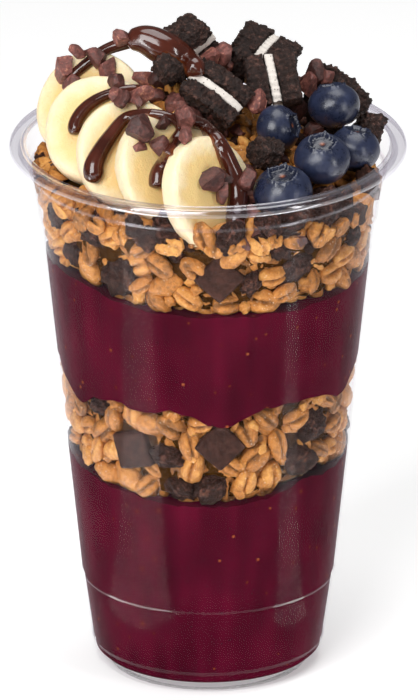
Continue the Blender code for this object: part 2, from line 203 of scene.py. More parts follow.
class CupSizes(bpy.types.PropertyGroup):
    """Sizes of the pieces that are made again over the frame."""

    flake: length("Flake", "Length of a granola flake", 8.6)
    nib: length("Nib", "Width of a cacao nib", 5.2)
    square: length("Square", "Side of a chocolate square", 9.2)
    seed: IntProperty(name="Seed", description="Starts the scatter of small pieces", default=7)


class FoodColours(bpy.types.PropertyGroup):
    """Base colours of the foods."""

    acai: colour("Acai", "Thick acai", (0.066, 0.0028, 0.0125))
    toast: colour("Toast", "Toasted oats", (0.6, 0.23, 0.042))
    banana: colour("Banana", "Cut banana", (0.87, 0.62, 0.26))
    berry: colour("Berry", "Berry skin", (0.006, 0.008, 0.02))
    bloom: colour("Bloom", "Bloom on the skin", (0.03, 0.04, 0.088))
    wafer: colour("Wafer", "Dark cookie", (0.03, 0.014, 0.0105))
    crumb: colour("Crumb", "Dark cookie in the granola", (0.045, 0.019, 0.013))
    cream: colour("Cream", "Cookie cream", (0.74, 0.68, 0.62))
    sauce: colour("Sauce", "Chocolate sauce", (0.06, 0.012, 0.006))
    nib: colour("Nib", "Cacao nib", (0.135, 0.045, 0.036))
    square: colour("Chocolate", "Chocolate square", (0.05, 0.022, 0.016))


class StudioLight(bpy.types.PropertyGroup):
    """Strengths of the studio's lights, in watts for the key and strips."""

    key: FloatProperty(name="Key", description="Large light over the cup", default=8.0)
    strip: FloatProperty(name="Strips", description="Tall lights beside the cup", default=1.1)
    card: FloatProperty(name="Cards", description="Low cards that streak the wall", default=7.0)
    room: FloatProperty(name="Room", description="Even light from all round", default=0.12)


# ---- shader maths


def maths(operation, turned=False):
    """A method that joins two values, sockets or numbers, with a Math node."""

    def join(self, other):
        node = self.tree.nodes.new("ShaderNodeMath")
        node.operation = operation
        for socket, value in zip(node.inputs, (other, self) if turned else (self, other)):
            feed(self.tree, socket, value)
        return Wire(self.tree, node.outputs[0])

    return join


class Wire:
    """An output socket that can be used in sums; above gives 1 over an edge, or else 0."""

    def __init__(self, tree, socket):
        self.tree, self.socket = tree, socket

    __add__, __radd__ = maths("ADD"), maths("ADD", turned=True)
    __sub__, __rsub__ = maths("SUBTRACT"), maths("SUBTRACT", turned=True)
    __mul__, __pow__, above = maths("MULTIPLY"), maths("POWER"), maths("GREATER_THAN")


def feed(tree, socket, value):
    """Give a socket its value, or a link to it."""
    if isinstance(value, Wire):
        tree.links.new(value.socket, socket)
    elif socket.type == "RGBA" and len(value) == 3:
        socket.default_value = (*value, 1)
    else:
        socket.default_value = value


class Finish:
    """A new material with one Principled shader, and the nodes that feed it."""

    def __init__(self, name, **values):
        self.material = bpy.data.materials.new(name)
        self.material.use_nodes = True
        self.tree = self.material.node_tree
        self.shader = self.tree.nodes["Principled BSDF"]
        self.output = self.tree.nodes["Material Output"]
        self.set(**values)

    def set(self, **values):
        for key, value in values.items():
            feed(self.tree, self.shader.inputs[key.replace("_", " ")], value)

    def done(self, **values):
        self.set(**values)
        return self.material

    def node(self, kind, settings=None, values=None, output=0):
        """Any node: its settings first, then its sockets' values or links."""
        made = self.tree.nodes.new("ShaderNode" + kind)
        for key, value in (settings or {}).items():
            if key == "stops":
                for element, (place, colour) in zip(self.ramp_elements(made, len(value)), value):
                    element.position, element.color = place, (*colour, 1)
            else:
                setattr(made, key, value)
        for key, value in (values or {}).items():
            feed(self.tree, made.inputs[key], value)
        return Wire(self.tree, made.outputs[output])

    def ramp_elements(self, made, count):
        while len(made.color_ramp.elements) < count:
            made.color_ramp.elements.new(0.5)
        return made.color_ramp.elements

    def place(self):
        return self.node("TexCoord", output="Object")

    def stretched(self, scale):
        return self.node("Mapping", values={"Vector": self.place(), "Scale": scale})

    def noise(self, size, detail=3, roughness=0.55, at=None):
        """Soft noise with features of about this size in metres."""
        values = {"Vector": at or self.place(), "Scale": 1 / size}
        values.update({"Detail": detail, "Roughness": roughness})
        return self.node("TexNoise", values=values)

    def cells(self, size):
        """Distance from the middle of the nearest cell."""
        values = {"Vector": self.place(), "Scale": 1 / size}
        return self.node("TexVoronoi", values=values, output="Distance")

    def attribute(self, name):
        return self.node("Attribute", {"attribute_name": name}, output="Fac")

    def ramp(self, factor, *stops):
        return self.node("ValToRGB", {"stops": stops}, {"Fac": factor})

    def spread(self, factor, low, high):
        """The factor's values between low and high, stretched to 0 and 1."""
        values = {"Value": factor, "From Min": low, "From Max": high}
        return self.node("MapRange", {"clamp": True}, values)

    def blend(self, factor, first, second):
        return self.node("Mix", {"data_type": "RGBA"}, {0: factor, 6: first, 7: second}, 2)

    def bump(self, height, distance, strength=1.0):
        values = {"Height": height, "Distance": distance, "Strength": strength}
        return self.node("Bump", values=values)


def tint(colour, factor):
    return tuple(min(1.0, c * factor) for c in colour)


# ---- finishes


def clear_plastic(name, body, gloss, haze, edge):
    """Clear plastic: light passes straight on, with gloss and a little haze over it."""
    finish = Finish(name)
    facing = finish.node("LayerWeight", values={"Blend": 0.5}, output="Facing")
    clear = finish.node("BsdfTransparent", values={"Color": (*body, 1)})
    shine = finish.node("BsdfGlossy", values={"Color": (0.97, 0.97, 1, 1), "Roughness": 0.1})
    film = finish.node("BsdfDiffuse", values={"Color": (0.78, 0.75, 0.82, 1)})
    milky = finish.node("MixShader", values={0: facing ** 3 * haze, 1: clear, 2: film})
    shell = finish.node("MixShader", values={0: gloss + facing ** edge * 0.4, 1: milky, 2: shine})
    finish.tree.nodes.remove(finish.shader)
    finish.tree.links.new(shell.socket, finish.output.inputs["Surface"])
    return finish.material


def acai_finish(colour):
    """Thick acai, streaked upwards, with orange and dark flecks."""
    finish = Finish("acai", Roughness=0.4, Specular_IOR_Level=0.0)
    streaks = finish.noise(4 * MM, at=finish.stretched((1, 1, 0.12)))
    smears = finish.noise(16 * MM, 2)
    mixed = finish.spread(streaks * 0.6 + smears * 0.5, 0.35, 0.75)
    body = finish.blend(mixed, tint(colour, 0.6), tint(colour, 1.5))
    flecks = finish.cells(3.2 * MM)
    chance = finish.noise(3 * MM, 1)
    orange = (1 - flecks.above(0.13)) * chance.above(0.54)
    body = finish.blend(orange * 0.8, body, (0.34, 0.09, 0.03))
    dark = (1 - finish.cells(1.9 * MM).above(0.14)) * (1 - chance.above(0.44))
    return finish.done(
        Base_Color=finish.blend(dark, body, (0.02, 0.004, 0.008)),
        Normal=finish.bump(streaks, 0.3 * MM, 0.35),
    )


def toast_finish(name, colour, shade):
    """Toasted oats: golden where raised, with painted shade browning the hollows and creases, and
    grains of sugar.
    """
    finish = Finish(name, Specular_IOR_Level=0.4 if shade > 0.5 else 0.0)
    grain = finish.noise(1.3 * MM, 5, 0.7)
    patch = finish.noise(4 * MM, 2)
    tone = finish.attribute("tone")
    # the flakes' painted crease shade, and darkening towards their edges
    mark = finish.attribute("mark")
    # painted shade: the grain that makes the bump also sets the colour, so the hollows are browner
    mixed = finish.spread(grain * 0.6 + patch * 0.3 + tone * 0.2 - mark * 0.2, 0.36, 0.76)
    # the shade factor dims every stop; at 0.12 it paints the cores as shade
    brown, golden = tint(colour, 0.35 * shade), tint(colour, 0.95 * shade)
    pale = tint((0.88, 0.46, 0.12), shade)
    body = finish.ramp(mixed, (0.0, brown), (0.45, golden), (1.0, pale))
    sugar = (1 - finish.cells(0.95 * MM).above(0.17)) * finish.noise(2.5 * MM, 1).above(0.5)
    return finish.done(
        Base_Color=finish.blend(sugar * 0.55, body, tint((0.95, 0.8, 0.6), shade)),
        Roughness=0.28 + finish.noise(2 * MM) * 0.4,
        Normal=finish.bump(grain, 0.6 * MM, 1.0),
    )


def banana_finish(colour):
    """Cut banana: pale at the rim, yellower and clearer inside, moist."""
    finish = Finish("banana", Subsurface_Weight=0.15, Subsurface_Scale=2 * MM)
    reach = finish.attribute("reach")
    soft = finish.noise(5 * MM, 3)
    inner = finish.spread(reach + (soft - 0.5) * 0.35, 0.25, 0.95)
    deep, pale = tint(colour, 0.95), (0.92, 0.77, 0.5)
    body = finish.ramp(inner, (0.0, deep), (0.55, colour), (0.9, pale), (1.0, pale))
    glow = finish.spread(finish.noise(3.5 * MM, 2), 0.62, 0.8)
    body = finish.blend(glow * 0.5 * (1 - reach), body, (0.86, 0.6, 0.16))
    fibre = finish.noise(0.5 * MM, 3, 0.6)
    return finish.done(
        Base_Color=body, Roughness=0.16 + finish.noise(1.2 * MM) * 0.36,
        Normal=finish.bump(fibre + finish.noise(1.6 * MM) * 0.8, 0.3 * MM, 0.6),
    )


def berry_finish(skin, bloom):
    """A dark skin under a dusty bloom that is rubbed off in places."""
    finish = Finish("blueberry", Specular_IOR_Level=0.6)
    dust = finish.noise(4.5 * MM, 4, 0.6)
    fine = finish.noise(0.6 * MM, 3, 0.6)
    crown = finish.attribute("crown")
    cover = finish.spread(dust * 0.8 + fine * 0.35, 0.34, 0.82) * (1 - crown * 0.85)
    body = finish.blend(cover, skin, bloom)
    body = finish.blend(finish.attribute("heart"), body, (0.32, 0.09, 0.03))
    return finish.done(
        Base_Color=body, Roughness=0.2 + cover * 0.22,
        Normal=finish.bump(fine, 0.08 * MM, 0.5),
    )


def wafer_finish(name, colour, shine=0.35, sugar_share=0.85):
    """Dark baked crumb, grainy, with paler sugar grains, painted highlights on the raised crumb and
    painted shade in its hollows.
    """
    finish = Finish(name, Specular_IOR_Level=shine)
    crumb = finish.noise(1.0 * MM, 5, 0.75)
    clumps = finish.noise(2.6 * MM, 3)
    grains = finish.cells(1.0 * MM)
    # painted highlight and shade: the crumb noise also makes the bump, so raised crumb is 5.6 times
    # lighter and the hollows 0.3 times as light
    stops = (0.36, tint(colour, 0.3)), (0.52, colour), (0.66, tint(colour, 5.6))
    body = finish.ramp(crumb * 0.7 + clumps * 0.3, *stops)
    sugar = (1 - finish.cells(0.8 * MM).above(0.13)) * clumps.above(0.5)
    return finish.done(
        Base_Color=finish.blend(sugar * sugar_share, body, (0.22, 0.15, 0.13)),
        Roughness=0.4 + crumb * 0.3,
        Normal=finish.bump(crumb - grains * 0.6, 0.8 * MM, 1.0),
    )


def cream_finish(colour):
    """Dry sugar cream with dark crumbs in it."""
    finish = Finish("cream", Roughness=0.7)
    crumbs = finish.spread(finish.cells(0.8 * MM), 0.16, 0.24)
    some = finish.noise(1.6 * MM, 1).above(0.5)
    return finish.done(
        Base_Color=finish.blend((1 - crumbs) * some, colour, (0.07, 0.05, 0.045)),
        Normal=finish.bump(finish.noise(0.6 * MM, 4), 0.25 * MM, 0.7),
    )


def sauce_finish(colour):
    """Glossy chocolate sauce, redder where it runs thin."""
    finish = Finish("sauce", Coat_Weight=0.5, Coat_Roughness=0.05)
    thin = finish.attribute("thin")
    flow = finish.noise(6 * MM, 2)
    body = finish.blend(finish.spread(flow, 0.35, 0.7), tint(colour, 0.7), tint(colour, 1.4))
    return finish.done(
        Base_Color=finish.blend(thin ** 2, body, (0.2, 0.05, 0.012)),
        Roughness=0.09 + flow * 0.12,
        Normal=finish.bump(finish.noise(3 * MM, 2), 0.3 * MM, 0.15),
    )


def nib_finish(colour):
    """Cacao nib: reddish brown, paler in dusty patches."""
    finish = Finish("nib")
    grain = finish.noise(0.9 * MM, 4, 0.65)
    patch = finish.noise(2.6 * MM, 2)
    tone = finish.attribute("tone")
    factor = finish.spread(grain * 0.6 + patch * 0.4 + (tone - 0.5) * 0.25, 0.35, 0.72)
    stops = (0.0, tint(colour, 0.35)), (0.5, colour), (0.85, tint(colour, 2.0))
    body = finish.ramp(factor, *stops, (1.0, (0.5, 0.22, 0.14)))
    return finish.done(
        Base_Color=body, Roughness=0.32 + grain * 0.35,
        Normal=finish.bump(grain, 0.35 * MM, 0.9),
    )


def square_finish(colour):
    """Dull dark chocolate with paler specks."""
    finish = Finish("chocolate", Roughness=0.55, Specular_IOR_Level=0.06)
    grain = finish.noise(1.4 * MM, 4)
    specks = finish.cells(1.1 * MM)
    body = finish.blend(finish.spread(grain, 0.4, 0.7), tint(colour, 0.6), tint(colour, 1.7))
    return finish.done(
        Base_Color=finish.blend((1 - specks.above(0.12)) * 0.5, body, (0.3, 0.16, 0.1)),
        Normal=finish.bump(grain, 0.3 * MM, 0.8),
    )


# ---- mesh helpers


def deselect():
    bpy.ops.object.select_all(action="DESELECT")


def choose(made):
    deselect()
    made.select_set(True)
    bpy.context.view_layer.objects.active = made


def named(name):
    """The object that an operator has just made, with its name."""
    made = bpy.context.view_layer.objects.active
    made.name = made.data.name = name
    return made


def linked(name, data):
    """A new object in the scene."""
    made = bpy.data.objects.new(name, data)
    bpy.context.scene.collection.objects.link(made)
    return made


def edited(made, work, **settings):
    """Do one edit-mode operator on the whole mesh."""
    choose(made)
    bpy.ops.object.mode_set(mode="EDIT")
    bpy.ops.mesh.select_all(action="SELECT")
    work(**settings)
    bpy.ops.object.mode_set(mode="OBJECT")
    return made


def finished(made, material, replaces=(), angle=None):
    """Put a piece's place in its mesh, give it its finish, and fix it to the frame."""
    choose(made)
    bpy.ops.object.transform_apply(location=True, rotation=True, scale=True)
    made.data.materials.clear()
    made.data.materials.append(material)
    if angle is None:
        bpy.ops.object.shade_smooth()
    else:
        bpy.ops.object.shade_smooth_by_angle(angle=math.radians(angle))
    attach(made, "root")
    if replaces:
        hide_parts(*replaces)
    return made


def modified(made, kind, **settings):
    """Add a modifier and apply it."""
    choose(made)
    modifier = made.modifiers.new(kind.lower(), kind)
    for key, value in settings.items():
        setattr(modifier, key, value)
    bpy.ops.object.modifier_apply(modifier=modifier.name)
    return made


def copy_of(node, name):
    """A whole mesh of a CAD node, with its loose triangles joined."""
    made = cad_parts[node].copy()
    made.data = made.data.copy()
    made.parent = None
    for key in list(made.keys()):
        del made[key]
    bpy.context.scene.collection.objects.link(made)
    made.name = made.data.name = name
    return edited(made, bpy.ops.mesh.remove_doubles, threshold=0.01 * MM)


def relief(made, size, depth, middle=0.5):
    """Push the surface in and out by a solid texture."""
    texture = bpy.data.textures.new(made.name + "_relief", "CLOUDS")
    texture.noise_scale = size
    texture.noise_depth = 3
    settings = {"strength": depth, "mid_level": middle, "texture_coords": "LOCAL"}
    return modified(made, "DISPLACE", texture=texture, **settings)


def points_of(mesh):
    """The mesh's points, one to a row."""
    flat = np.empty(len(mesh.vertices) * 3)
    mesh.vertices.foreach_get("co", flat)
    return flat.reshape(-1, 3)


def set_points(mesh, points):
    mesh.vertices.foreach_set("co", np.asarray(points).ravel())
    mesh.update()


def add_values(mesh, name, values):
    layer = mesh.attributes.new(name, "FLOAT", "POINT")
    layer.data.foreach_set("value", np.asarray(values, dtype=float))


def crease_shade_of(mesh):
    """A shape's painted shade in a flake's crease, with its darkening towards the edge, or none."""
    marks = np.zeros(len(mesh.vertices))
    if "mark" in mesh.attributes:
        mesh.attributes["mark"].data.foreach_get("value", marks)
    return marks


def lathe(name, line):
    """Spin a line of (radius, height) in metres about Z, and close it."""
    bm = bmesh.new()
    verts = [bm.verts.new((0, -r, z)) for r, z in line]
    edges = [bm.edges.new(pair) for pair in zip(verts, verts[1:])]
    turn = {"cent": (0, 0, 0), "axis": (0, 0, 1), "angle": 2 * math.pi, "steps": ROUND}
    bmesh.ops.spin(bm, geom=verts + edges, **turn)
    bmesh.ops.remove_doubles(bm, verts=bm.verts, dist=1e-6)
    bmesh.ops.recalc_face_normals(bm, faces=bm.faces)
    mesh = bpy.data.meshes.new(name)
    bm.to_mesh(mesh)
    bm.free()
    return linked(name, mesh)


def inner_radius(z):
    """Radius of the wall's inner face at a height, for numbers or arrays."""
    heights = [h * MM for _, h in WALL_LINE]
    radii = [r * MM - WALL_THICKNESS for r, _ in WALL_LINE]
    return np.interp(z, heights, radii)


def swells(angle, marks):
    """Sum of smooth bumps round the cup, at an angle in radians."""
    total = 0
    for centre, width, rise in marks:
        away = (np.degrees(angle) - centre + 180) % 360 - 180
        total = total + rise * MM * np.exp(-((away / width) ** 2))
    return total


def wobble(angle, height, seed):
    """Fine unevenness of a layer's edge."""
    values = []
    for a in np.atleast_1d(angle):
        at = Vector((math.sin(a) * 9, math.cos(a) * 9, height * 10 + seed))
        values.append(noise.noise(at) * 0.9 * MM + noise.noise(at * 2.7) * 0.5 * MM)
    return np.array(values)


def lower_edge(angle):
    """Height of the top of the lower acai, which rises towards the back."""
    rise = 6.5 * MM * (1 - np.cos(angle)) * (0.5 + 0.5 * np.cos(angle / 2) ** 2)
    return 52.4 * MM + rise + swells(angle, LOWER_SWELLS)


def mid_edge(angle):
    """Height of the foot of the upper acai."""
    return 78.2 * MM + swells(angle, MID_SWELLS)


def upper_edge(angle):
    """Height of the top of the upper acai, which tilts a little."""
    rise = 2.4 * MM * (1 - np.cos(angle - math.radians(15)))
    return 104.2 * MM + rise + swells(angle, UPPER_SWELLS)


def outwards(a):
    """The level direction at this angle from the front, in radians."""
    return Vector((math.sin(a), -math.cos(a), 0))


def on_wall(degrees, z):
    """A point at an angle and height on the wall's inner face."""
    a = math.radians(degrees)
    r = float(inner_radius(z))
    return Vector((r * math.sin(a), -r * math.cos(a), z))


def inside_wall(points, reach=0.1 * MM):
    """Points pushed back so that they end just in the wall."""
    limit = inner_radius(points[:, 2]) + reach
    radius = np.hypot(points[:, 0], points[:, 1])
    keep = np.minimum(1, limit / np.maximum(radius, 1e-9))
    points[:, :2] *= keep[:, None]
    return points


def surface_of(*names):
    """A tree of these CAD nodes' faces, for dropping things on to."""
    verts, faces = [], []
    for name in names:
        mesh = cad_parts[name].data
        start = len(verts)
        verts += [v.co.copy() for v in mesh.vertices]
        faces += [[start + i for i in p.vertices] for p in mesh.polygons]
    return BVHTree.FromPolygons(verts, faces)


def seen_from_front(tree, across, up):
    """Where a line from the front meets the surfaces, and the normal there."""
    start = Vector((across * MM, 0, 0)) + VIEW_UP * up * MM + VIEW_OUT * 0.3
    place, normal, _, _ = tree.ray_cast(start, -VIEW_OUT)
    if place is None:
        return None, None
    return place, (normal if normal.dot(VIEW_OUT) > 0 else -normal)


def joined(name, kinds, places, clip=False):
    """One mesh of copies of the kinds: each place is (which, matrix, tone)."""
    verts, faces, tones, marks, start = [], [], [], [], 0
    # each kind's painted shade in its crease, and darkening towards its edge
    dark = [crease_shade_of(k) for k in kinds]
    shapes = [(points_of(k), [tuple(p.vertices) for p in k.polygons]) for k in kinds]
    for which, matrix, tone in places:
        points, polygons = shapes[which]
        turn = np.array(matrix)
        moved = points @ turn[:3, :3].T + turn[:3, 3]
        verts.append(moved)
        faces += [tuple(start + i for i in p) for p in polygons]
        tones.append(np.full(len(points), tone))
        marks.append(dark[which])
        start += len(points)
    verts = np.concatenate(verts)
    if clip:
        verts = inside_wall(verts)
    mesh = bpy.data.meshes.new(name)
    mesh.from_pydata(verts.tolist(), [], faces)
    add_values(mesh, "tone", np.concatenate(tones))
    add_values(mesh, "mark", np.concatenate(marks))
    return linked(name, mesh)


def primitive(maker, settings, name, shape):
    """A mesh from one of the primitive operators, with its points moved by the shape."""
    deselect()
    maker(**settings)
    made = named(name)
    mesh = made.data
    set_points(mesh, [shape(Vector(p)) for p in points_of(mesh)])
    bpy.data.objects.remove(made)
    return mesh


def flake_kinds(size, dice, sides=22):
    """Toasted flakes: plump ovals, bumpy, curled, and most creased along the middle."""
    kinds = []
    ball = {"segments": sides, "ring_count": sides * 2 // 3, "radius": 1}
    for i in range(FLAKE_KINDS):
        wide, thick = dice.uniform(0.58, 0.74), dice.uniform(0.42, 0.56)
        curl, seed = dice.uniform(-0.2, 0.2), dice.uniform(0, 99)
        creased = i % 4 > 0

        def shape(p):
            swell = 0.12 * noise.noise(p * 1.5 + Vector((seed, 0, 0)))
            lump = 1 + swell + 0.11 * noise.noise(p * 6 + Vector((0, seed, 0)))
            crease = 0.62 * math.exp(-((p.y / 0.15) ** 2)) * (1 - p.x ** 4) if creased else 0
            z = p.z * thick * lump * (1 - crease)
            return Vector((p.x * lump, p.y * wide * lump, z + curl * p.x * p.x)) * size / 2

        made = primitive(bpy.ops.mesh.primitive_uv_sphere_add, ball, f"flake_{i}", shape)
        across = points_of(made)[:, 1] / (size / 2)
        # painted shade: the crease is darkened in colour as well as in shape, and the flake is
        # darker towards its edge
        crease_shade = np.exp(-((across / 0.1) ** 2)) * (1.0 if creased else 0.0)
        edge = np.clip(np.abs(across) / wide, 0, 1) ** 4
        add_values(made, "mark", np.clip(crease_shade + 0.35 * edge, 0, 1))
        kinds.append(made)
    return kinds


def crumb_kinds(dice, rough, detail=3, width=1):
    """Uneven baked lumps."""
    kinds = []
    ball = {"subdivisions": detail, "radius": 1}
    for i in range(CRUMB_KINDS):
        seed = Vector((dice.uniform(0, 99), dice.uniform(0, 99), 0))
        flat = dice.uniform(0.7, 0.95)

        def shape(p):
            swell = rough * noise.noise(p * 1.7 + seed) + rough * 0.6 * noise.noise(p * 4.1 + seed)
            lump = 1 + swell + 0.1 * noise.noise(p * 9 + seed)
            return Vector((p.x, p.y * flat, p.z * 0.85)) * lump * width / 2

        made = primitive(bpy.ops.mesh.primitive_ico_sphere_add, ball, f"crumb_{i}", shape)
        kinds.append(made)
    return kinds


def nib_kinds(dice):
    """Broken cacao nibs of unit width: balls with flat cuts and blunt corners."""
    kinds = []
    ball = {"subdivisions": 4, "radius": 1}
    for i in range(NIB_KINDS):
        cuts = []
        for _ in range(10):
            way = Vector([dice.gauss(0, 1) for _ in range(3)]).normalized()
            cuts.append((way, dice.uniform(0.46, 0.72)))
        long = dice.uniform(0.85, 1.2)

        def shape(p):
            q = p.copy()
            for way, depth in cuts:
                over = q.dot(way) - depth
                if over > 0:
                    q -= way * over
            q *= 1 + 0.06 * noise.noise(p * 5)
            return Vector((q.x * long, q.y * 0.9, q.z * 0.85)) * 0.66

        made = primitive(bpy.ops.mesh.primitive_ico_sphere_add, ball, f"nib_{i}", shape)
        kinds.append(made)
    return kinds


def turned_to(normal, spin):
    """A rotation that lays Z along the normal, then spins about it."""
    base = Vector(normal).to_track_quat("Z", "Y").to_matrix().to_4x4()
    return base @ Matrix.Rotation(spin, 4, "Z")


def any_turn(dice):
    return turned_to([dice.gauss(0, 1) for _ in range(3)], dice.uniform(0, 2 * math.pi))


# ---- pieces


def make_cup():
    """The thin-walled cup, with its rolled rim and moulded lines."""
    outer = [(r * MM, z * MM) for r, z in WALL_LINE]
    inner = [(r - WALL_THICKNESS, z) for r, z in outer if z > FLOOR_EDGE]
    below = [(r * MM, z * MM) for r, z in BASE_BELOW]
    above = [(r * MM, z * MM) for r, z in BASE_ABOVE]
    rim = [(r * MM, CUP_TOP - down * MM) for r, down in RIM_START]
    for step in range(11):
        a = math.radians(-130 + 220 * step / 10)
        out, up = RIM_ROLL * math.cos(a), RIM_ROLL * math.sin(a)
        rim.append((RIM_REACH - RIM_ROLL + out, CUP_TOP - RIM_ROLL + up))
    rim += [(r * MM, CUP_TOP - down * MM) for r, down in RIM_END]
    made = lathe("cup", [*below, *outer, *rim, *reversed(inner), *above])
    thin = clear_plastic("clear_plastic", (0.985, 0.98, 0.985), 0.0025, 0.03, 9)
    finished(made, thin, ("cup",), angle=40)
    thick = clear_plastic("clear_plastic_rim", (0.84, 0.82, 0.87), 0.09, 0.35, 2)
    line = clear_plastic("clear_plastic_line", (0.93, 0.91, 0.94), 0.02, 0.15, 4)
    made.data.materials.append(thick)
    made.data.materials.append(line)
    for face in made.data.polygons:
        centre = face.center
        if centre.z > 134 * MM and math.hypot(centre.x, centre.y) > 44.6 * MM:
            face.material_index = 1
        elif any(low * MM < centre.z < high * MM for low, high in MOULDED_LINES):
            face.material_index = 2


def along_wall(heights):
    """A filling's line up the wall, at these heights in mm."""
    return [(float(inner_radius(z * MM)) + WALL_OVERLAP, z * MM) for z in heights]


def filling(name, foot, heights, top):
    """A solid of acai: its foot and top are (radius, height) in mm."""
    foot = [(r * MM, z * MM) for r, z in foot]
    top = [(r * MM, z * MM) for r, z in top]
    return lathe(name, [*foot, *along_wall(heights), *top])


def to_wall(points, rows):
    """Move these rows of points out to the wall at their heights."""
    radius = np.hypot(points[rows, 0], points[rows, 1])
    wall = inner_radius(points[rows, 2]) + WALL_OVERLAP
    points[rows, :2] *= (wall / radius)[:, None]


def make_acai(colours):
    """Both layers of acai, each out to the wall and wavy at its edges."""
    material = acai_finish(colours.acai)
    lower = filling(
        "acai_lower_fill",
        ((0, 2.4), (22, 2.4), (26.6, 2.9)),
        (4, 5.2, 6.4, 10, 16, 22.8, 24.2, 30, 36, 42, 46, 49, 52),
        ((26, 53), (13, 54), (0, 54)),
    )
    points = points_of(lower.data)
    raise_edge(points, 42 * MM, 52 * MM)
    set_points(lower.data, points)
    finished(lower, material, ("acai_lower",), angle=50)
    upper = filling(
        "acai_upper_fill",
        ((0, 77), (14, 77), (28, 77.5)),
        (78, 82, 86, 90, 94, 98, 101, 104),
        ((28, 105), (14, 105.2), (0, 105.2)),
    )
    points = points_of(upper.data)
    angle = np.arctan2(points[:, 0], -points[:, 1])
    low = mid_edge(angle) + wobble(angle, 2, 5) + 0.1 * MM
    high = upper_edge(angle) + wobble(angle, 3, 9)
    share = np.clip((points[:, 2] - 78 * MM) / (26 * MM), 0, 1)
    rim = np.hypot(points[:, 0], points[:, 1]) > 30 * MM
    points[rim, 2] = (low + (high - low) * share)[rim]
    to_wall(points, rim)
    set_points(upper.data, points)
    finished(upper, material, ("acai_upper",), angle=50)


def raise_edge(points, start, top):
    """Stretch the lower acai between these heights up to its wavy edge."""
    angle = np.arctan2(points[:, 0], -points[:, 1])
    edge = lower_edge(angle) + wobble(angle, 1, 3)
    reach = np.hypot(points[:, 0], points[:, 1])
    walls = (points[:, 2] > start) & (points[:, 2] <= top + 1e-6) & (reach > 30 * MM)
    share = (points[walls, 2] - start) / (top - start)
    points[walls, 2] = start + (edge[walls] - start) * share
    to_wall(points, walls)


def wall_places(dice, edges, spacing, depth, shapes, kept=(), scale=(0.8, 1.15)):
    """Places behind the wall between two edges.

    Each piece touches the wall, or lies deeper by the depth. Kept spots are (place, reach).
    """
    places, spots = [], list(kept)
    for _ in range(WALL_TRIES):
        a = dice.uniform(-math.pi, math.pi)
        degrees = math.degrees(a)
        low, high = (float(edge(a)) for edge in edges)
        z = dice.uniform(low + 1.6 * MM, high - 1.2 * MM)
        spot = on_wall(degrees, z)
        if any((spot - other).length < max(spacing, reach) for other, reach in spots):
            continue
        spots.append((spot, 0))
        tilt = Vector([dice.uniform(-0.45, 0.45) for _ in range(3)])
        which = dice.randrange(len(shapes))
        turn = turned_to(outwards(a) + tilt, dice.uniform(0, 2 * math.pi))
        turn = turn @ Matrix.Scale(dice.uniform(*scale), 4)
        there = against_wall(degrees, z, turn, points_of(shapes[which]), depth)
        places.append((which, there, dice.random()))
    return places


def heap_places(dice, spacing, kinds, clear=2.0 * MM):
    """Places on the open top of the heap, clear of the toppings."""
    heap = surface_of("granola_top")
    toppings = surface_of(*topping_names())
    places, spots = [], []
    for _ in range(HEAP_TRIES):
        a, r = dice.uniform(0, 2 * math.pi), 42.5 * MM * math.sqrt(dice.random())
        start = Vector((r * math.cos(a), r * math.sin(a), 0.2))
        place, normal, _, _ = heap.ray_cast(start, Vector((0, 0, -1)))
        if place is None or normal.z < 0.3:
            continue
        if any((place - other).length < spacing for other in spots):
            continue
        near = toppings.find_nearest(place + normal * MM)
        if near[0] is not None and near[3] < clear:
            continue
        spots.append(place)
        way = normal + Vector([dice.uniform(-0.5, 0.5) for _ in range(3)])
        turn = turned_to(way, dice.uniform(0, 2 * math.pi))
        turn = Matrix.Translation(place - normal * 0.2 * MM) @ turn
        which, size = dice.randrange(kinds), Matrix.Scale(dice.uniform(0.7, 1.1), 4)
        places.append((which, turn @ size, dice.random()))
    return places


def topping_names():
    return [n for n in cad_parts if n.startswith(("banana", "blueberry", "cookie"))]


def make_granola(sizes, colours):
    """Two cores under flakes at the wall, darkened as painted shade for the gaps, flakes behind
    them, clusters and a heap.
    """
    dice = random.Random(sizes.seed)
    light = toast_finish("granola", colours.toast, 1.0)
    # painted shade: the cores take the toast finish at 0.12 of its brightness, so the gaps between
    # flakes read as shadow
    dark = toast_finish("granola_core_painted_shade", colours.toast, 0.12)
    for node, inset in (("granola_mid", 2.6), ("granola_top", 2.2)):
        core = copy_of(node, node + "_core")
        modified(core, "REMESH", mode="VOXEL", voxel_size=1.0 * MM)
        relief(core, 3 * MM, 2.4 * MM, middle=0.5 + inset / 2.4)
        set_points(core.data, inside_wall(points_of(core.data), -inset * MM))
        add_values(core.data, "tone", np.full(len(core.data.vertices), 0.4))
        finished(core, dark, (node,))
    kinds = flake_kinds(sizes.flake, dice)
    plain = flake_kinds(sizes.flake, dice, sides=14)
    rough = crumb_kinds(dice, rough=0.45, width=5 * MM)
    kept = [(on_wall(degrees, z * MM), size * 0.62 * MM) for degrees, z, size in WALL_LUMPS]
    kept += [(on_wall(degrees, z * MM), sizes.square * 0.72) for degrees, z, _ in SQUARES]
    deep, gaps = [], []
    layers = {"mid": (lower_edge, mid_edge), "top": (upper_edge, lambda _: 128 * MM)}
    for name, edges in layers.items():
        near = wall_places(dice, edges, 5.5 * MM, 0, kinds, kept)
        finished(joined(f"granola_{name}_flakes", kinds, near, clip=True), light)
        deep += wall_places(dice, edges, 4.5 * MM, 2.2 * MM, plain)
        gaps += wall_places(dice, edges, 6.5 * MM, 0.5 * MM, rough, kept, (0.5, 0.95))
    finished(joined("granola_deeper", plain, deep, clip=True), light)
    heap = heap_places(dice, 4.6 * MM, HEAP_KINDS)
    finished(joined("granola_heap", kinds, heap, clip=True), light)
    gaps += heap_places(dice, 7 * MM, CRUMB_KINDS, 1.5 * MM)
    finished(joined("granola_clusters", rough, gaps, clip=True), light)


